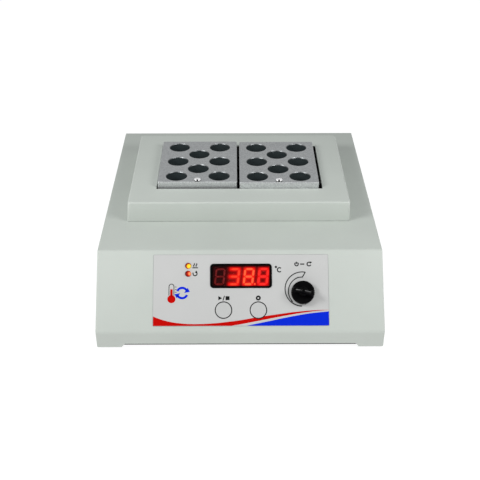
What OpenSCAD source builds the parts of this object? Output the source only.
// Two-block dry-block thermal mixer: a sheet-steel case with a raked control
// panel, a raised collar around the block bay, and two interchangeable
// aluminium blocks on a heated plate that runs on a small circular orbit.
// X is the width, -Y is the front, +Z is up. The origin is on the bench, in
// the middle of the footprint. All dimensions in millimetres.

/* [Case] */
// Width of the case
body_w = 250; // [244:1:260]
// Depth of the flat top, from the upper fold to the back
top_d = 261.4; // [255:0.1:275]
// Depth that the raked control panel covers
rake_d = 46.4; // [44:0.1:50]
// Height that the raked control panel covers
rake_h = 55.2; // [54:0.1:58]
// Height of the short front skirt below the panel
skirt_h = 16.9; // [15:0.1:20]
// How far the foot of the skirt is set back
skirt_in = 2.4; // [0:0.1:4]
// Height of the corner tabs above the bench
tab_clear = 1.5; // [1:0.1:3]
// Thickness of the case sheet
sheet_t = 1.5; // [1:0.1:2]
// Width of the corner tabs that the case stands down to
tab_w = 22; // [18:1:30]
// Depth of the cut-away between the corner tabs
tab_h = 3.8; // [3:0.1:5]

/* [Collar] */
// Width of the raised collar
collar_w = 204.5; // [200:0.1:210]
// Depth of the raised collar
collar_d = 155.2; // [150:0.1:160]
// Height of the raised collar
collar_h = 19.8; // [15:0.1:25]
// Collar centre, to the right of the middle
collar_x = -0.4; // [-1:0.1:1]
// Distance from the upper fold to the collar
collar_front = 53.0; // [50:0.1:56]
// Width of the bay opening
bay_w = 156; // [155.6:0.1:160]
// Depth of the bay opening
bay_d = 99.6; // [99.4:0.1:101]
// Distance from the collar's front to the bay opening
bay_front = 28.5; // [27:0.1:30]

/* [Blocks] */
// Width of one block
block_w = 74.9; // [74:0.1:75]
// Depth of one block
block_d = 94.8; // [94:0.1:95]
// Height of one block
block_h = 50; // [45:1:50]
// How far the blocks stand above the collar
block_proud = 5.9; // [4:0.1:8]
// Gap between the two blocks
block_gap = 1.9; // [1.5:0.1:2.2]
// How far each block sits from the middle of the plate, one back and one forward
block_play = 0.6; // [0:0.1:0.6]
// Radius of a tube well
well_r = 9.7; // [7:0.1:9.8]
// Depth of a tube well to its round bottom
well_depth = 43; // [30:1:44]
// Chamfer at the mouth of a well
well_chamfer = 0.3; // [0.3:0.1:1]
// Half the spacing of the well columns
well_x = 20.2; // [19:0.1:20.5]
// Quarter of the length of the well pattern
well_y = 16.7; // [16:0.1:17.2]

/* [Drive] */
// Radius of the mixing orbit
orbit_r = 1.5; // [1:0.1:1.5]
// Where on the orbit the plate rests, in degrees from +X
orbit_phase = 225; // [0:5:355]
// Radius of the crank pins
pin_r = 3; // [3:0.5:3]
// Radial running clearance of a pin in its bearing
pin_fit = 0.05; // [0.02:0.01:0.08]
// Distance of an idler crank from the drive shaft
idler_x = 58; // [54:1:62]

/* [Control panel] */
// Width of the printed label
label_w = 152.3; // [150:0.1:156]
// Height of the printed label, down the panel
label_h = 62.3; // [60:0.1:63]
// Distance from the upper fold to the label
label_top = 4.3; // [3.5:0.1:5]
// Label centre, to the right of the middle
label_x = 0.7; // [0:0.1:2]
// Display bezel width
display_w = 53.7; // [52:0.1:56]
// Display bezel height
display_h = 21.4; // [21:0.1:23]
// Diameter of a push button's hole
button_hole = 15.3; // [15:0.1:16]
// Diameter of a push button's cap
button_cap = 14.3; // [13:0.1:14.4]
// Diameter of the speed knob's skirt
knob_d = 20; // [18:0.5:21]
// Height of the speed knob above the label
knob_h = 14.2; // [12:0.1:16]
// Angle of the knob's grip bar at rest
knob_angle = -12.5; // [-90:0.5:90]

/* [Hidden] */

$fn = 64;
eps = 0.01;
case_d = top_d + rake_d;
rear_proj = 3.5;                                 // what stands out behind the case
fold_in = 0.225;                                 // how far the round lower fold lies inside its sharp corner
y_f = -(case_d + rear_proj + fold_in) / 2;       // lower fold, the front-most line
y_u = y_f + rake_d;                              // upper fold
y_b = y_f + case_d;                              // back of the case
z_c = tab_clear;                                 // foot of the corner tabs
z_l = z_c + skirt_h;                             // lower fold
z_t = z_l + rake_h;                              // top of the case
rake_a = atan2(rake_h, rake_d);                  // tilt of the panel's normal away from +Z
rake_l = norm([rake_h, rake_d]);                 // length of the panel
z_base = z_c + 1.3;                              // underside of the base plate
base_t = 1.5;
z_floor = z_base + base_t;                       // inside floor
hw = body_w / 2;
col_y0 = y_u + collar_front;
bay_y0 = col_y0 + bay_front;
oc_y = bay_y0 + bay_d / 2;                       // orbit centre = middle of the bay
z_col = z_t + collar_h;
z_blk = z_col + block_proud;                     // top of the blocks
z_hp = z_blk - block_h;                          // top of the heater plate
off = orbit_r * [cos(orbit_phase), sin(orbit_phase)];
pin_c = [off[0], oc_y + off[1]];                 // crank pin and plate centre at rest
blk_dx = (block_w + block_gap) / 2;
// the stack of plates under the blocks
hp_t = 6.8;                                      // heater plate
mat_t = 1.0;
ins_t = 5.0;
car_t = 4.0;
z_mat = z_hp - hp_t - mat_t;
z_ins = z_mat - ins_t;
z_car = z_ins - car_t;                           // underside of the carrier plate
z_crank = z_car - 2;                             // top of the crank discs
crank_t = 5.5;
z_frame = 21.0;                                  // underside of the drive frame
frame_t = 2.5;
frame_w = 150;
frame_d = 84;
brg_r = 9.5;                                     // 6 x 19 x 6 ball bearings
brg_t = 6;

// positions on the panel: x from the middle, t down the panel from the upper fold
display_at = [0.85, 23.0];
hot_at = [-45.2, 14.0];
run_at = [-45.3, 21.0];
start_at = [-14.4, 52.9];
set_at = [15.8, 53.0];
knob_at = [54.4, 38.0];
label_t = 0.4;
board_z0 = -14.0;                                // back of the control board, below the panel face
board_z1 = -12.4;

function unit(v) = v / norm(v);
// corner b of a convex counter-clockwise outline, moved inward by d
function inset_pt(a, b, c, d) = let (u = unit(b - a), v = unit(c - b),
  n1 = [-u[1], u[0]], n2 = [-v[1], v[0]]) b + d * (n1 + n2) / (1 + n1 * n2);
function inset(p, d) = [for (i = [0:len(p) - 1])
  inset_pt(p[(i + len(p) - 1) % len(p)], p[i], p[(i + 1) % len(p)], d)];

// a convex outline with true arcs at its corners
module round_poly(p, rs) {
  n = len(p);
  polygon([for (i = [0:n - 1]) each let (b = p[i],
    u = unit(p[(i + n - 1) % n] - b), v = unit(p[(i + 1) % n] - b),
    h = acos(u * v) / 2, t = rs[i] > 0 ? rs[i] / tan(h) : 0)
    rs[i] > 0 ? [b + u * t, b + v * t] : [b]]);
  for (i = [0:n - 1]) if (rs[i] > 0)
    let (b = p[i], u = unit(p[(i + n - 1) % n] - b), v = unit(p[(i + 1) % n] - b), h = acos(u * v) / 2)
      translate(b + unit(u + v) * rs[i] / sin(h)) circle(r = rs[i]);
}
// a slab centred in X and Y with round vertical edges
module slab(w, d, h, r = 0) {
  if (r > 0) {
    translate([-w / 2 + r, -d / 2, 0]) cube([w - 2 * r, d, h]);
    translate([-w / 2, -d / 2 + r, 0]) cube([w, d - 2 * r, h]);
    for (x = [-1, 1], y = [-1, 1]) translate([x * (w / 2 - r), y * (d / 2 - r), 0]) cylinder(r = r, h = h);
  } else translate([-w / 2, -d / 2, 0]) cube([w, d, h]);
}
// a slot with round ends, w wide and d long
module slot(w, d, h) {
  translate([-w / 2, -d / 2 + w / 2, 0]) cube([w, d - w, h]);
  for (y = [-1, 1]) translate([0, y * (d - w) / 2, 0]) cylinder(r = w / 2, h = h);
}
module box(a, b) { translate(a) cube(b - a); }
// local frame on the panel: +Z out of the panel, +Y up the panel
module on_panel(at, lift = 0) {
  translate([at[0], y_u - at[1] * cos(rake_a), z_t - at[1] * sin(rake_a)])
    rotate([rake_a, 0, 0]) translate([0, 0, lift]) children();
}
// turns an outline drawn in (y, z) into a prism across X
module across(x0, x1) { translate([x0, 0, 0]) rotate([90, 0, 90]) linear_extrude(x1 - x0) children(); }
// an eight-sided tube along a list of points
module tube(p, r, n = 8) {
  m = len(p);
  tan_ = [for (i = [0:m - 1]) unit(p[min(i + 1, m - 1)] - p[max(i - 1, 0)])];
  ring = [for (i = [0:m - 1]) let (t = tan_[i],
    s = abs(t[2]) > 0.9 ? unit(cross(t, [0, 1, 0])) : unit(cross(t, [0, 0, 1])), q = cross(s, t))
    [for (k = [0:n - 1]) p[i] + r * (cos(360 * k / n) * s + sin(360 * k / n) * q)]];
  polyhedron(points = [for (i = [0:m - 1]) each ring[i]],
    faces = concat([[for (k = [0:n - 1]) k]],
      [for (i = [0:m - 2], k = [0:n - 1]) [i * n + k, (i + 1) * n + k, (i + 1) * n + (k + 1) % n, i * n + (k + 1) % n]],
      [[for (k = [n - 1:-1:0]) (m - 1) * n + k]]));
}
// points along an arc of 90 degrees, used to turn a lead round a corner
function bend(c, u, v, r, n = 4) = [for (k = [0:n]) c + r * (sin(90 * k / n) * u + (1 - cos(90 * k / n)) * v)];

/* ---------- case ---------- */
case_out = [[y_f + skirt_in, z_c], [y_b, z_c], [y_b, z_t], [y_u, z_t], [y_f, z_l]];
case_in = inset(case_out, sheet_t);

module panel_holes() {
  on_panel(display_at, -4) translate([-display_w / 2 + 0.8, -display_h / 2 + 0.8, 0]) cube([display_w - 1.6, display_h - 1.6, 8]);
  for (a = [hot_at, run_at]) on_panel(a, -4) cylinder(r = 2.7, h = 8);
  for (a = [start_at, set_at]) on_panel(a, -4) cylinder(r = button_hole / 2, h = 8);
  on_panel(knob_at, -4) cylinder(r = 4.6, h = 8);
}

module tab_cut_x() { // the notch between the corner tabs along the front, with sloping ends
  w = hw - tab_w;
  translate([0, y_f - 5, 0]) rotate([90, 0, 0]) mirror([0, 0, 1]) linear_extrude(30)
    polygon([[-w - 0.01, z_c - 1], [w + 0.01, z_c - 1], [w + 0.01, z_c + 0.8], [w - 2.6, z_c + tab_h], [-w + 2.6, z_c + tab_h], [-w - 0.01, z_c + 0.8]]);
}
module tab_cut_y() {
  a = y_f + tab_w + 2; b = y_b - tab_w;
  across(-hw - 5, hw + 5)
    polygon([[a, z_c - 1], [b, z_c - 1], [b, z_c + 0.8], [b - 2.6, z_c + tab_h], [a + 2.6, z_c + tab_h], [a, z_c + 0.8]]);
}

module top_case() color([0.80, 0.82, 0.79]) {
  difference() {
    union() {
      difference() {
        across(-hw, hw) round_poly(case_out, [0, 0, 1.6, 3.2, 4.2]);
        difference() {
          across(-hw + sheet_t, hw - sheet_t)
            polygon([case_in[0] - [0, 5], [y_b + 5, z_c - 5], [y_b + 5, z_t - sheet_t], case_in[3], case_in[4]]);
        }
        // open along the bottom behind the skirt
        box([-hw + sheet_t, y_f + skirt_in + sheet_t, z_c - 5], [hw - sheet_t, y_b + 5, z_c + 4]);
      }
      // return flange that the rear panel is screwed to
      difference() {
        box([-hw + sheet_t, y_b - 3.2, z_c + 8], [hw - sheet_t, y_b - 1.9, z_t - sheet_t]);
        box([-hw + sheet_t + 9, y_b - 4, z_c - 1], [hw - sheet_t - 9, y_b, z_t - sheet_t - 8]);
      }
    }
    panel_holes();
    tab_cut_x();
    tab_cut_y();
    // hole for the block bay
    translate([0, oc_y, z_t - 4]) slab(bay_w + 8, bay_d + 8, 8, 3);
    // screw holes: sides, rear flange, collar
    for (x = [-1, 1], y = [y_f + 62, oc_y, y_b - 34])
      translate([x * (hw - 1.7), y, z_floor + 8]) rotate([0, 90 * x, 0]) cylinder(r = 1.7, h = 4);
    for (x = [-1, 1], z = [z_c + 16, z_t - 14])
      translate([x * (hw - 7), y_b + 2, z]) rotate([90, 0, 0]) cylinder(r = 1.3, h = 8);
    for (x = [-1, 1], y = [-1, 1])
      translate([x * (collar_w / 2 - 11), oc_y - 0.4 + y * (collar_d / 2 - 12), z_t - 4]) cylinder(r = 1.7, h = 8);
  }
}

module collar() color([0.82, 0.84, 0.81]) {
  cy = col_y0 + collar_d / 2;
  difference() {
    union() {
      difference() {
        translate([collar_x, cy, z_t]) slab(collar_w, collar_d, collar_h, 2.2);
        translate([collar_x, cy, z_t - 1]) slab(collar_w - 5, collar_d - 5, collar_h - 1.5, 1);
      }
      // inner wall of the bay
      translate([0, oc_y, z_t]) slab(bay_w + 4.4, bay_d + 4.4, collar_h, 2.4);
      // bosses for the collar screws
      for (x = [-1, 1], y = [-1, 1])
        translate([x * (collar_w / 2 - 11), oc_y - 0.4 + y * (collar_d / 2 - 12), z_t]) cylinder(r = 4, h = collar_h - 1);
    }
    translate([0, oc_y, z_t - 1]) slab(bay_w, bay_d, collar_h + 2, 0.8);
    for (x = [-1, 1], y = [-1, 1])
      translate([x * (collar_w / 2 - 11), oc_y - 0.4 + y * (collar_d / 2 - 12), z_t - 1]) cylinder(r = 1.3, h = 12);
  }
}

module collar_gasket() color([0.10, 0.10, 0.10]) {
  // thin black sponge seal in the collar's own foot, between its walls
  cy = col_y0 + collar_d / 2;
  difference() {
    translate([collar_x, cy, z_t]) slab(collar_w - 5.4, collar_d - 5.4, 1.2, 0.8);
    translate([0, oc_y, z_t - 1]) slab(bay_w + 5, bay_d + 5, 4, 2.6);
    for (x = [-1, 1], y = [-1, 1])
      translate([x * (collar_w / 2 - 11), oc_y - 0.4 + y * (collar_d / 2 - 12), z_t - 1]) cylinder(r = 4.3, h = 4);
  }
}

module bay_liner() color([0.07, 0.07, 0.07]) {
  // black sleeve round the blocks, hung under the top by its flange
  translate([0, oc_y, 0]) difference() {
    union() {
      translate([0, 0, z_t - sheet_t - 1]) slab(bay_w + 24, bay_d + 24, 1, 4);
      translate([0, 0, z_hp - 2]) slab(bay_w + 7, bay_d + 7, z_t - sheet_t - z_hp + 2, 3.5);
    }
    translate([0, 0, z_hp - 3]) slab(bay_w + 5, bay_d + 5, 60, 2.5);
  }
}

module bay_insulation() color([0.86, 0.80, 0.55]) {
  // glass-wool jacket round the liner
  translate([0, oc_y, z_hp - 1]) difference() {
    slab(bay_w + 30, bay_d + 30, z_t - sheet_t - z_hp, 8);
    translate([0, 0, -1]) slab(bay_w + 7.4, bay_d + 7.4, 60, 3.7);
  }
}

module base_plate() color([0.12, 0.12, 0.13]) {
  w = body_w - 2 * sheet_t - 0.6;
  y0 = y_f + skirt_in + sheet_t + 0.3;
  y1 = y_b - 0.3;
  difference() {
    union() {
      box([-w / 2, y0, z_base], [w / 2, y1, z_floor]);
      // up-turned side flanges that the case is screwed to
      for (x = [-1, 1]) box([x > 0 ? w / 2 - 1.2 : -w / 2, y0 + 30, z_floor - eps], [x > 0 ? w / 2 : -w / 2 + 1.2, y1 - 12, z_floor + 13]);
      // up-turned rear flange
      box([-w / 2 + 14, y1 - 3.2, z_floor - eps], [w / 2 - 14, y1 - 2.0, z_floor + 9]);
    }
    // ventilation slots
    for (i = [0:8]) translate([-60 + 15 * i, y_u + 4, z_base - 1]) slot(4, 36, 5);
    for (i = [0:8]) translate([-60 + 15 * i, y_b - 52, z_base - 1]) slot(4, 30, 5);
    // side screws, foot screws and pillar screws
    for (x = [-1, 1], y = [y_f + 62, oc_y, y_b - 34])
      translate([x * (w / 2 - 3), y, z_floor + 8]) rotate([0, 90 * x, 0]) cylinder(r = 1.55, h = 6);
    for (x = [-1, 1], y = [y_f + 30, y_b - 22]) translate([x * (hw - 26), y, z_base - 1]) cylinder(r = 2.2, h = 5);
    for (x = [-1, 1], y = [-1, 1]) translate([x * (frame_w / 2 - 7), oc_y + y * (frame_d / 2 - 7), z_base - 1]) cylinder(r = 1.7, h = 5);
  }
}

module rear_panel() color([0.80, 0.82, 0.79]) {
  w = body_w - 2 * sheet_t - 0.5;
  difference() {
    box([-w / 2, y_b - 1.7, z_c + tab_h], [w / 2, y_b - 0.1, z_t - sheet_t - 0.3]);
    // inlet and switch cut-outs
    box([inlet_x - 14.2, y_b - 4, inlet_z - 16.2], [inlet_x + 14.2, y_b + 2, inlet_z + 16.2]);
    box([switch_x - 10.7, y_b - 4, switch_z - 14.2], [switch_x + 10.7, y_b + 2, switch_z + 14.2]);
    for (x = [-1, 1]) translate([inlet_x + x * 20, y_b + 2, inlet_z]) rotate([90, 0, 0]) cylinder(r = 1.7, h = 8);
    // cooling slots
    for (i = [0:9]) translate([-92 + 9 * i, y_b + 2, 40]) rotate([90, 0, 0]) slot(3.4, 34, 8);
    for (x = [-1, 1], z = [z_c + 16, z_t - 14])
      translate([x * (hw - 7), y_b + 2, z]) rotate([90, 0, 0]) cylinder(r = 1.7, h = 8);
  }
}

module rubber_feet() color([0.06, 0.06, 0.06])
  for (x = [-1, 1], y = [y_f + 30, y_b - 22]) translate([x * (hw - 26), y, 0]) difference() {
    union() { cylinder(r = 9, h = z_base - 0.6); translate([0, 0, z_base - 0.6]) cylinder(r = 8, h = 0.6); }
    translate([0, 0, 1.2]) cylinder(r = 4.2, h = 5);
  }

module foot_screws() color([0.70, 0.71, 0.72])
  for (x = [-1, 1], y = [y_f + 30, y_b - 22]) translate([x * (hw - 26), y, 0]) {
    translate([0, 0, z_base - 1.5]) cylinder(r = 3.8, h = 1.5);
    translate([0, 0, z_base - eps]) cylinder(r = 2.0, h = base_t + 4);
    translate([0, 0, z_floor]) cylinder(r = 3.9, h = 2.6, $fn = 6);
  }

module pan_screw(r = 1.5, l = 7, head = 2.9, hh = 1.5) { // axis +Z, head above 0, cross recess
  difference() {
    union() { cylinder(r = head, h = hh * 0.55); translate([0, 0, hh * 0.55 - eps]) cylinder(r1 = head, r2 = head * 0.62, h = hh * 0.45 + eps); }
    for (a = [0, 90]) rotate([0, 0, a]) translate([-head * 0.5, -0.3, hh - 0.8]) cube([head, 0.6, 2]);
  }
  translate([0, 0, -l]) cylinder(r = r, h = l + eps);
}

module case_screws() color([0.70, 0.71, 0.72])
  for (x = [-1, 1], y = [y_f + 62, oc_y, y_b - 34])
    translate([x * hw, y, z_floor + 8]) rotate([0, 90 * x, 0]) pan_screw(r = 1.5, l = 5, head = 2.8, hh = 1.4);

module rear_screws() color([0.70, 0.71, 0.72]) {
  for (x = [-1, 1], z = [z_c + 16, z_t - 14])
    translate([x * (hw - 7), y_b - 0.1, z]) rotate([-90, 0, 0]) pan_screw(r = 1.25, l = 6, head = 2.8, hh = 1.5);
  for (x = [-1, 1]) translate([inlet_x + x * 20, y_b - 0.1 + 2.2, inlet_z]) rotate([-90, 0, 0]) pan_screw(r = 1.4, l = 8, head = 2.5, hh = 1.2);
}

/* ---------- control panel ---------- */
module front_label() color([0.81, 0.82, 0.81]) {
  difference() {
    on_panel([label_x, label_top + label_h / 2]) slab(label_w, label_h, label_t, 1.2);
    on_panel(display_at, -1) slab(display_w + 0.2, display_h + 0.2, 4, 2.1);
    for (a = [hot_at, run_at]) on_panel(a, -1) cylinder(r = 2.7, h = 4);
    for (a = [start_at, set_at]) on_panel(a, -1) cylinder(r = button_hole / 2, h = 4);
    on_panel(knob_at, -1) cylinder(r = 4.6, h = 4);
  }
}

module display_bezel() color([0.03, 0.03, 0.03])
  on_panel(display_at) difference() {
    union() {
      slab(display_w, display_h, 1.1, 2.0);
      translate([0, 0, -3.2]) slab(display_w - 1.9, display_h - 1.9, 3.3, 0.8);
    }
    translate([0, 0, -4]) slab(display_w - 3.6, display_h - 3.6, 6, 1.2);
  }

module display_window() color([0.18, 0.02, 0.03, 0.6])
  on_panel(display_at, -1.2) slab(display_w - 3.8, display_h - 3.8, 1.9, 1.1);

module display_module() color([0.08, 0.06, 0.06])
  on_panel(display_at) {
    translate([0, 0, -10.4]) slab(display_w - 4.2, display_h - 4.0, 7.6, 0.3);
    for (x = [-22:4:22], y = [-6.5, 6.5]) translate([x, y, board_z1 - 1.8]) cylinder(r = 0.3, h = 4);
  }

module led() {
  translate([0, 0, -3.0]) cylinder(r = 2.9, h = 1.0);
  translate([0, 0, -2.1]) cylinder(r = 2.5, h = 2.1);
  sphere(r = 2.5);
  for (x = [-1.27, 1.27]) translate([x, 0, board_z1 - 2]) cylinder(r = 0.3, h = -3 - board_z1 + 2.1);
}
module led_hot() color([0.95, 0.75, 0.10]) on_panel(hot_at) led();
module led_run() color([0.85, 0.10, 0.05]) on_panel(run_at) led();

board_x0 = -62; board_x1 = 40; board_t0 = 6; board_t1 = 65;
stand_at = [for (x = [board_x0 + 5, board_x1 - 4], t = [board_t0 + 4, board_t1 - 3.5]) [x, t]];

module control_board() color([0.05, 0.30, 0.14]) {
  difference() {
    on_panel([(board_x0 + board_x1) / 2, (board_t0 + board_t1) / 2], board_z0)
      slab(board_x1 - board_x0, board_t1 - board_t0, board_z1 - board_z0, 1);
    for (a = stand_at) on_panel(a, board_z0 - 1) cylinder(r = 1.6, h = 4);
    for (a = [hot_at, run_at], x = [-1.27, 1.27]) on_panel(a + [x, 0], board_z0 - 1) cylinder(r = 0.4, h = 4);
    for (x = [-22:4:22], y = [-6.5, 6.5]) on_panel(display_at + [x, -y], board_z0 - 1) cylinder(r = 0.4, h = 4);
  }
  // tactile switches under the two buttons
  for (a = [start_at, set_at]) on_panel(a, board_z1 - eps) {
    slab(6, 6, 3.2, 0.4);
    cylinder(r = 1.75, h = 4.2);
  }
  // microcontroller, driver and capacitors on the back of the board
  on_panel([-12, 38], board_z0 - 2.4) slab(10, 10, 2.4 + eps, 0.3);
  on_panel([14, 36], board_z0 - 2.0) slab(18, 7, 2.0 + eps, 0.3);
  for (x = [-40, -30]) on_panel([x, 40], board_z0 - 9) cylinder(r = 3.2, h = 9 + eps);
  on_panel([-50, 34], board_z0 - 6) slab(6, 26, 6 + eps, 0.3);
}

module board_standoffs() color([0.72, 0.72, 0.73])
  for (a = stand_at) on_panel(a) {
    translate([0, 0, board_z1]) cylinder(r = 3, h = -sheet_t - board_z1);
    translate([0, 0, board_z0 - 1.6]) cylinder(r = 2.6, h = 1.6);
    translate([0, 0, board_z0 - eps]) cylinder(r = 1.4, h = 2);
  }

module speed_potentiometer() color([0.45, 0.46, 0.48])
  on_panel(knob_at) difference() {
    union() {
      translate([0, 0, -12]) cylinder(r = 8.2, h = 8);
      translate([0, -8, -11]) slab(12, 8, 1.4, 0.5);
      translate([0, 0, -4 - eps]) cylinder(r = 6.5, h = 2.4);
      translate([0, 0, -2]) cylinder(r = 4.4, h = 5.0);
    }
    translate([0, 0, -10]) cylinder(r = pin_r + pin_fit, h = 20);
  }

module potentiometer_nut() color([0.72, 0.72, 0.73])
  on_panel(knob_at, label_t) difference() {
    union() { cylinder(r = 7.2, h = 0.6); translate([0, 0, 0.5]) cylinder(r = 6.4, h = 1.7, $fn = 6); }
    translate([0, 0, -1]) cylinder(r = 4.45, h = 5);
  }

module pot_shaft() color([0.75, 0.75, 0.76])
  on_panel(knob_at) difference() {
    translate([0, 0, -9.7]) cylinder(r = pin_r, h = 9.7 + 11);
    // flat for the knob
    rotate([0, 0, knob_angle]) translate([-4, 1.6, 3.5]) cube([8, 4, 10]);
  }

module speed_knob() color([0.02, 0.02, 0.02])
  on_panel(knob_at, label_t + 0.5) rotate([0, 0, knob_angle]) difference() {
    union() {
      cylinder(r = knob_d / 2, h = 4.0);
      translate([0, 0, 4.0 - eps]) cylinder(r1 = knob_d / 2, r2 = knob_d / 2 - 1.0, h = 1.0);
      // grip bar across the skirt, full-round on top and arched along its length
      intersection() {
        translate([0, 0, 1]) cylinder(r1 = knob_d / 2 - 0.3, r2 = knob_d / 2 - 1.2, h = knob_h);
        translate([0, 6, knob_h - 0.5 - 12]) rotate([90, 0, 0]) cylinder(r = 12, h = 12);
        union() {
          translate([-knob_d / 2, -2.7, 1]) cube([knob_d, 5.4, knob_h - 0.5 - 1 - 2.7]);
          translate([-knob_d / 2, 0, knob_h - 0.5 - 2.7]) rotate([0, 90, 0]) cylinder(r = 2.7, h = knob_d);
        }
      }
    }
    // recess over the fixing nut, and the D-shaped socket for the shaft
    translate([0, 0, -1]) cylinder(r = 7.9, h = 3.6);
    difference() {
      translate([0, 0, -1]) cylinder(r = pin_r, h = 11.6);
      translate([-4, 1.6, 2.6]) cube([8, 4, 10]);
    }
  }

module button() {
  difference() {
    union() {
      translate([0, 0, -2.2]) cylinder(r = button_cap / 2, h = 2.2 + label_t);
      translate([0, 0, label_t - eps]) cylinder(r1 = button_cap / 2, r2 = button_cap / 2 - 0.5, h = 0.25);
      translate([0, 0, -3.2]) cylinder(r = button_cap / 2 + 1.6, h = 1.2);
      translate([0, 0, -6.6]) cylinder(r = 2.4, h = 4.4);
    }
  }
}
module start_button() color([0.80, 0.81, 0.80]) on_panel(start_at) button();
module set_button() color([0.80, 0.81, 0.80]) on_panel(set_at) button();

/* ---------- drive ---------- */
module frame_pillars() color([0.70, 0.71, 0.72])
  for (x = [-1, 1], y = [-1, 1]) translate([x * (frame_w / 2 - 7), oc_y + y * (frame_d / 2 - 7), 0]) {
    translate([0, 0, z_floor]) cylinder(r = 4, h = z_frame - z_floor);
    translate([0, 0, z_base - 0.9]) cylinder(r = 2.9, h = 0.9);
    translate([0, 0, z_base - eps]) cylinder(r = 1.6, h = 3);
    translate([0, 0, z_frame - eps]) cylinder(r = 1.6, h = frame_t + 1);
    translate([0, 0, z_frame + frame_t]) cylinder(r = 3.2, h = 1.5);
  }

module drive_frame() color([0.60, 0.61, 0.62])
  translate([0, oc_y, 0]) difference() {
    union() {
      translate([0, 0, z_frame]) slab(frame_w, frame_d, frame_t, 5);
      // cups that hold the idler bearings
      for (x = [-1, 1]) translate([x * idler_x, 0, z_frame - brg_t]) cylinder(r = brg_r + 2, h = brg_t + eps);
    }
    for (x = [-1, 1], y = [-1, 1]) translate([x * (frame_w / 2 - 7), y * (frame_d / 2 - 7), z_frame - 1]) cylinder(r = 1.8, h = 6);
    // motor spigot, motor screws, bearing seats
    translate([0, 0, z_frame - 1]) cylinder(r = 8, h = 6);
    for (a = [45:90:315]) rotate([0, 0, a]) translate([17, 0, z_frame - 1]) cylinder(r = 1.7, h = 6);
    for (x = [-1, 1]) translate([x * idler_x, 0, 0]) {
      translate([0, 0, z_frame - brg_t + 1]) cylinder(r = brg_r, h = 12);
      translate([0, 0, z_frame - brg_t - 1]) cylinder(r = brg_r - 2, h = 12);
    }
    // lightening windows
    for (x = [-1, 1], y = [-1, 1]) translate([x * 36, y * 27, z_frame - 1]) slab(20, 16, 6, 3);
  }

module bearing() { // ball bearing 6 x 19 x 6, its lower face at 0
  difference() {
    cylinder(r = brg_r, h = brg_t);
    translate([0, 0, -1]) cylinder(r = pin_r + pin_fit, h = brg_t + 2);
    for (z = [-1, brg_t - 0.4]) translate([0, 0, z]) difference() {
      cylinder(r = brg_r - 1.6, h = 1.4);
      translate([0, 0, -1]) cylinder(r = pin_r + 1.6, h = 4);
    }
  }
}
module idler_bearings() color([0.75, 0.75, 0.77])
  for (x = [-1, 1]) translate([x * idler_x, oc_y, z_frame - brg_t + 1]) bearing();

module drive_motor() color([0.30, 0.31, 0.33])
  translate([0, oc_y, 0]) difference() {
    union() {
      translate([0, 0, z_floor + 0.6]) cylinder(r = 24, h = z_frame - z_floor - 0.6);
      translate([0, 0, z_frame - eps]) cylinder(r = 7.8, h = 1.6);
    }
    translate([0, 0, z_floor + 2.6]) cylinder(r = pin_r + pin_fit, h = 30);
    for (a = [45:90:315]) rotate([0, 0, a]) translate([17, 0, z_frame - 4]) cylinder(r = 1.3, h = 6);
    // cooling slots in the can
    for (a = [0:30:330]) rotate([0, 0, a]) translate([23, -1.5, z_floor + 5]) cube([3, 3, 8]);
  }

module motor_screws() color([0.70, 0.71, 0.72])
  for (a = [45:90:315]) translate([0, oc_y, z_frame + frame_t]) rotate([0, 0, a]) translate([17, 0, 0]) {
    cylinder(r = 2.6, h = 1.1);
    translate([0, 0, -5]) cylinder(r = 1.25, h = 5 + eps);
  }

module motor_shaft() color([0.78, 0.78, 0.80])
  translate([0, oc_y, z_floor + 3]) cylinder(r = pin_r, h = z_crank - crank_t - z_floor - 3 + 3.6);

module drive_crank() color([0.62, 0.60, 0.55]) {
  translate([0, oc_y, z_crank - crank_t]) difference() {
    union() {
      cylinder(r = 9, h = crank_t);
      // counterweight on the side away from the pin
      rotate([0, 0, orbit_phase + 180]) intersection() {
        difference() { cylinder(r = 14, h = crank_t - 0.5); translate([0, 0, -1]) cylinder(r = 8, h = 8); }
        translate([0, -14, 0]) cube([14, 28, 8]);
      }
    }
    translate([0, 0, -1]) cylinder(r = pin_r, h = 4.6);
  }
  translate([pin_c[0], pin_c[1], z_crank - eps]) cylinder(r = 4.2, h = 1.2);
  translate([pin_c[0], pin_c[1], z_crank]) cylinder(r = pin_r, h = z_car + brg_t - 0.5 - z_crank);
}

module idler(x) translate([x, oc_y, 0]) {
  translate([0, 0, z_frame - brg_t + 0.4]) cylinder(r = pin_r, h = brg_t + 4);
  translate([0, 0, z_crank - crank_t + 1.2]) cylinder(r = 7.5, h = crank_t - 1.2);
  translate([0, 0, z_frame + 1.6]) cylinder(r = 4.2, h = z_crank - crank_t + 1.2 - z_frame - 1.6 + eps);
  translate([off[0], off[1], z_crank - eps]) cylinder(r = 4.2, h = 1.2);
  translate([off[0], off[1], z_crank]) cylinder(r = pin_r, h = z_car + brg_t - 0.5 - z_crank);
}
module idler_crank_left() color([0.62, 0.60, 0.55]) idler(-idler_x);
module idler_crank_right() color([0.62, 0.60, 0.55]) idler(idler_x);

/* ---------- heated, orbiting platform ---------- */
module at_plate(z = 0) { translate([pin_c[0], pin_c[1], z]) children(); }
plate_w = 2 * block_w + block_gap;
plate_d = block_d + 2 * block_play;

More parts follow.
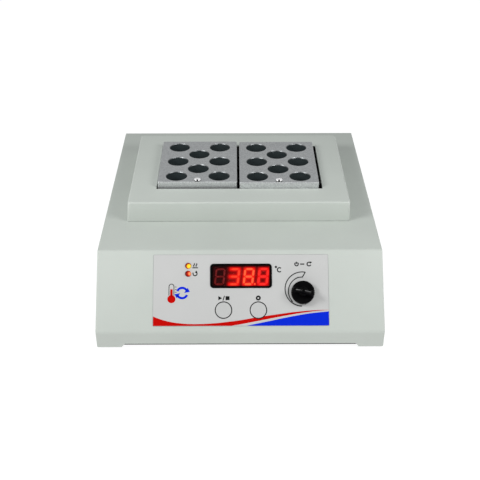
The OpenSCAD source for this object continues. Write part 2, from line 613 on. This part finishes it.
module carrier_plate() color([0.74, 0.75, 0.77])
  at_plate(z_car) difference() {
    union() {
      slab(plate_w, plate_d, car_t, 4);
      for (x = [-idler_x, 0, idler_x]) translate([x, 0, 0]) cylinder(r = brg_r + 2.2, h = brg_t + 1.0);
    }
    for (x = [-idler_x, 0, idler_x]) translate([x, 0, -1]) cylinder(r = brg_r, h = brg_t + 1);
    for (x = [-1, 1], y = [-1, 1]) translate([x * (plate_w / 2 - 8), y * (plate_d / 2 - 8), -1]) cylinder(r = 1.8, h = 8);
    for (x = [-1, 1]) translate([x * 29, 0, -1]) slab(20, 60, 8, 4);
  }

module platform_bearings() color([0.75, 0.75, 0.77])
  for (x = [-idler_x, 0, idler_x]) at_plate(z_car) translate([x, 0, 0]) bearing();

module plate_spacers() color([0.93, 0.93, 0.90])
  for (x = [-1, 1], y = [-1, 1]) at_plate(0) translate([x * (plate_w / 2 - 8), y * (plate_d / 2 - 8), 0]) {
    translate([0, 0, z_ins]) cylinder(r = 4, h = ins_t + mat_t);
    translate([0, 0, z_car - 1.4]) cylinder(r = 3, h = 1.4);
    translate([0, 0, z_car - eps]) cylinder(r = 1.6, h = car_t + ins_t + mat_t + 4);
  }

module insulation_board() color([0.88, 0.86, 0.80])
  at_plate(z_ins) difference() {
    slab(plate_w, plate_d, ins_t - 0.2, 3);
    for (x = [-idler_x, 0, idler_x]) translate([x, 0, -1]) cylinder(r = brg_r + 2.6, h = brg_t + 1.6 - car_t + 1);
    for (x = [-1, 1], y = [-1, 1]) translate([x * (plate_w / 2 - 8), y * (plate_d / 2 - 8), -1]) cylinder(r = 4.2, h = 10);
    for (x = [-1, 1]) translate([x * blk_dx, 0, ins_t + mat_t - 3]) slab(12.6, 12.6, 8, 1.2);
  }

module heater_mat() color([0.72, 0.22, 0.10])
  at_plate(z_mat) difference() {
    slab(plate_w - 8, plate_d - 8, mat_t, 3);
    for (x = [-1, 1], y = [-1, 1]) translate([x * (plate_w / 2 - 8), y * (plate_d / 2 - 8), -1]) cylinder(r = 5, h = 10);
    for (x = [-1, 1]) translate([x * blk_dx, 0, -1]) slab(16, 16, 4, 2);
  }

module heater_plate() color([0.70, 0.71, 0.73])
  at_plate(z_mat + mat_t) difference() {
    slab(plate_w, plate_d, hp_t, 2);
    for (x = [-1, 1], y = [-1, 1]) translate([x * (plate_w / 2 - 8), y * (plate_d / 2 - 8), -1]) cylinder(r = 1.6, h = 5.2);
    // threaded holes under the block screws
    for (s = [-1, 1]) translate([s * blk_dx, -s * block_play - block_d / 2 + screw_in, 1.5]) cylinder(r = 1.7, h = 10);
    // pocket for the sensor in the back edge
    translate([0, plate_d / 2 + 1, 3.4]) rotate([90, 0, 0]) cylinder(r = 1.6, h = 32);
  }

module temperature_sensor() color([0.80, 0.80, 0.82])
  at_plate(z_mat + mat_t + 3.4) {
    translate([0, plate_d / 2 + 0.5, 0]) rotate([90, 0, 0]) cylinder(r = 1.5, h = 30);
  }

module thermal_cutout() color([0.20, 0.20, 0.22])
  for (x = [-1, 1]) at_plate(z_mat + mat_t) translate([x * blk_dx, 0, -2.6]) slab(12, 12, 2.6, 1);

screw_in = 5.2; // block screw, behind the block's front edge
module block(s) { // s = -1 left, 1 right
  at_plate(z_hp) translate([s * blk_dx, -s * block_play, 0]) difference() {
    slab(block_w, block_d, block_h, 1.0);
    for (i = [-1, 1], j = [-1, 0, 1]) translate([i * well_x, j * 2 * well_y + well_shift, 0]) well();
    for (j = [-1, 1]) translate([0, j * well_y + well_shift, 0]) well();
    // hole for the hold-down screw
    translate([0, -block_d / 2 + screw_in, -1]) cylinder(r = 1.9, h = block_h + 2);
    // fine chamfer round the top edge
    for (e = [-1, 1]) {
      translate([e * block_w / 2, 0, block_h]) rotate([0, 45, 0]) cube([0.8, block_d + 2, 0.8], center = true);
      translate([0, e * block_d / 2, block_h]) rotate([45, 0, 0]) cube([block_w + 2, 0.8, 0.8], center = true);
    }
  }
}
well_shift = -0.9;
module well() {
  translate([0, 0, block_h - well_depth + well_r]) cylinder(r = well_r, h = well_depth);
  translate([0, 0, block_h - well_depth + well_r]) sphere(r = well_r);
  translate([0, 0, block_h - well_chamfer]) cylinder(r1 = well_r, r2 = well_r + well_chamfer + 0.1, h = well_chamfer + 0.1);
}
module block_left() color([0.66, 0.67, 0.68]) block(-1);
module block_right() color([0.68, 0.69, 0.70]) block(1);

module block_screws() color([0.85, 0.85, 0.86])
  for (s = [-1, 1]) at_plate(z_blk) translate([s * blk_dx, -s * block_play - block_d / 2 + screw_in, 0]) {
    intersection() { translate([0, 0, -2.2]) sphere(r = 3.9); cylinder(r = 3.1, h = 4); }
    translate([0, 0, -block_h - 4]) cylinder(r = 1.6, h = block_h + 4 + eps);
  }

/* ---------- power ---------- */
inlet_x = 82; inlet_z = 36;
switch_x = 38; switch_z = 36;

module mains_transformer() color([0.35, 0.28, 0.20])
  translate([-74, y_b - 42, z_floor]) {
    slab(44, 20, 38, 0.5);
    translate([0, 0, 7]) slab(30, 34, 24, 2);
    slab(56, 20, 1.6, 1);
  }

module power_board() color([0.06, 0.32, 0.16]) {
  translate([50, y_b - 62, z_floor + 6]) slab(92, 42, 1.6, 1);
  for (x = [-1, 1], y = [-1, 1]) translate([50 + x * 42, y_b - 62 + y * 17, z_floor]) cylinder(r = 2.6, h = 6 + eps);
  translate([24, y_b - 58, z_floor + 7.6 - eps]) slab(15, 19, 15, 0.5);
  translate([44, y_b - 58, z_floor + 7.6 - eps]) slab(15, 19, 15, 0.5);
  translate([60, y_b - 66, z_floor + 7.6 - eps]) cylinder(r = 6, h = 18);
  translate([22, y_b - 76, z_floor + 7.6 - eps]) slab(30, 9, 10, 0.5);
}

module heat_sink() color([0.20, 0.20, 0.21])
  translate([82, y_b - 62, z_floor + 7.6]) {
    slab(3, 34, 24, 0);
    for (i = [-3:3]) translate([-6, i * 5.2, 0]) slab(10, 1.4, 24, 0);
    translate([3.2, 6, 4]) slab(4.4, 10, 15, 0.3);
  }

module power_inlet() color([0.05, 0.05, 0.05])
  translate([inlet_x, y_b - 0.1, inlet_z]) rotate([-90, 0, 0]) mirror([0, 1, 0]) difference() {
    union() {
      slab(50, 36, 2.2, 3);
      translate([0, 0, -24]) slab(28, 32, 24 + eps, 1);
    }
    // socket for the plug, two corners cut off
    translate([0, -5.0, -16]) linear_extrude(20) polygon([[-12.2, -8], [12.2, -8], [12.2, 3.4], [8, 8], [-8, 8], [-12.2, 3.4]]);
    // pocket for the fuse drawer
    translate([0, 9.6, -20]) slab(23, 9, 24, 0.4);
    for (x = [-1, 1]) translate([x * 20, 0, -3]) cylinder(r = 1.6, h = 8);
    // slots for the pins
    for (p = [[-7, -3.0], [7, -3.0], [0, -7.6]]) translate([p[0], p[1], -25]) slab(2.0, 4.0, 12, 0);
  }

module inlet_pins() color([0.80, 0.78, 0.70])
  translate([inlet_x, y_b - 0.1, inlet_z]) rotate([-90, 0, 0]) mirror([0, 1, 0])
    for (p = [[-7, -3.0], [7, -3.0], [0, -7.6]]) translate([p[0], p[1], -31]) slab(2.0, 4.0, 28, 0);

module fuse_drawer() color([0.07, 0.07, 0.07])
  translate([inlet_x, y_b - 0.1, inlet_z]) rotate([-90, 0, 0]) mirror([0, 1, 0]) translate([0, 9.6, 0]) difference() {
    union() {
      translate([0, 0, -19.4]) slab(22.2, 8.2, 22.0, 0.3);
      translate([0, 0, 2.5]) slab(25, 9.4, 1.0, 0.6);
    }
    // cradles for two cartridge fuses, and the finger notch
    for (x = [-5.4, 5.4]) translate([x, 1.2, -17.4]) slab(6.4, 8.4, 18, 0);
    translate([0, 5.2, 2.7]) slab(9, 2.4, 3, 0.5);
  }

module fuses() color([0.80, 0.80, 0.78])
  translate([inlet_x, y_b - 0.1, inlet_z]) rotate([-90, 0, 0]) mirror([0, 1, 0]) for (x = [-5.4, 5.4])
    translate([x, 9.6 - 0.4, -17.2]) cylinder(r = 2.5, h = 17.4);

module switch_frame() color([0.05, 0.05, 0.05])
  translate([switch_x, y_b - 0.1, switch_z]) rotate([-90, 0, 0]) mirror([0, 1, 0]) difference() {
    union() {
      slab(25, 32, 2.0, 2);
      translate([0, 0, -20]) slab(21, 28, 20 + eps, 1);
    }
    translate([0, 0, -15]) slab(17, 24.6, 20, 0.6);
    // pivot holes
    translate([-9.6, 0, -7]) rotate([0, 90, 0]) cylinder(r = 1.55, h = 19.2);
  }

rock_a = 9;
module power_rocker() color([0.10, 0.10, 0.10])
  translate([switch_x, y_b - 0.1, switch_z]) rotate([-90, 0, 0]) mirror([0, 1, 0])
    translate([0, 0, -7]) rotate([rock_a, 0, 0]) {
      intersection() {
        across(-8.1, 8.1) polygon([[-10.4, 6.4], [10.4, 6.4], [10.6, 8.8], [0, 7.3], [-10.6, 8.8]]);
        across(-8.1, 8.1) circle(r = 14.2);
      }
      across(-8.1, 8.1) polygon([[-8.6, -1], [8.6, -1], [10.4, 6.5], [-10.4, 6.5]]);
      translate([-9.4, 0, 0]) rotate([0, 90, 0]) cylinder(r = 1.5, h = 18.8);
      translate([0, 0, -5]) slab(8, 5, 5, 0.5);
    }

/* ---------- wiring inside the case ---------- */
module mains_leads() color([0.55, 0.30, 0.12]) {
  for (k = [0:1]) tube([[inlet_x - 7 + 14 * k, y_b - 31.2, inlet_z + 3], [inlet_x - 7 + 14 * k, y_b - 33.5, inlet_z + 3], [inlet_x - 8.5 + 12 * k, y_b - 36, inlet_z + 1.5],
    [inlet_x - 10 + 10 * k, y_b - 37.8, inlet_z - 2], [inlet_x - 12 + 8 * k, y_b - 38.6, inlet_z - 8], [inlet_x - 14 + 7 * k, y_b - 39, inlet_z - 14], [inlet_x - 14 + 7 * k, y_b - 39.4, z_floor + 12]], 1.2);
  for (k = [0:1]) tube([[switch_x - 6 + 12 * k, y_b - 20.4, switch_z], [switch_x - 6 + 12 * k, y_b - 25, switch_z], [switch_x - 5.5 + 10 * k, y_b - 30, switch_z - 2],
    [switch_x - 4.5 + 9 * k, y_b - 34, switch_z - 6], [switch_x - 4 + 8 * k, y_b - 36.4, switch_z - 11], [switch_x - 4 + 8 * k, y_b - 37.6, z_floor + 13], [switch_x - 4 + 8 * k, y_b - 38.2, z_floor + 9]], 1.2);
}

module ribbon_cable() color([0.55, 0.57, 0.60]) {
  // flat cable from the power board, along the left side, to the control board
  w = 14;
  box([-108, y_u + 26, z_floor + 0.4], [-108 + w, y_b - 70, z_floor + 1.3]);
  box([-108, y_b - 71, z_floor + 0.4], [0, y_b - 71 + w, z_floor + 1.3]);
  box([-108, y_u + 14, z_floor + 0.4], [-50, y_u + 14 + w, z_floor + 1.3]);
}

module motor_lead() color([0.70, 0.10, 0.08])
  tube([[0, oc_y + 24.2, z_floor + 4], [0, oc_y + 30, z_floor + 4], [0, oc_y + 40, z_floor + 3.5], [1, oc_y + 50, z_floor + 3], [3, oc_y + 56, z_floor + 3.2],
    [5, oc_y + 59, z_floor + 3.6], [7, oc_y + 61, z_floor + 4]], 1.5);

top_case();
collar();
collar_gasket();
bay_liner();
bay_insulation();
base_plate();
rear_panel();
rubber_feet();
foot_screws();
case_screws();
front_label();
display_bezel();
display_window();
display_module();
led_hot();
led_run();
control_board();
board_standoffs();
speed_potentiometer();
potentiometer_nut();
pot_shaft();
speed_knob();
start_button();
set_button();
drive_frame();
frame_pillars();
drive_motor();
motor_screws();
idler_bearings();
motor_shaft();
drive_crank();
idler_crank_left();
idler_crank_right();
carrier_plate();
platform_bearings();
plate_spacers();
insulation_board();
heater_mat();
heater_plate();
temperature_sensor();
thermal_cutout();
block_left();
block_right();
block_screws();
mains_transformer();
power_board();
heat_sink();
power_inlet();
inlet_pins();
fuse_drawer();
fuses();
switch_frame();
power_rocker();
rear_screws();
mains_leads();
ribbon_cable();
motor_lead();
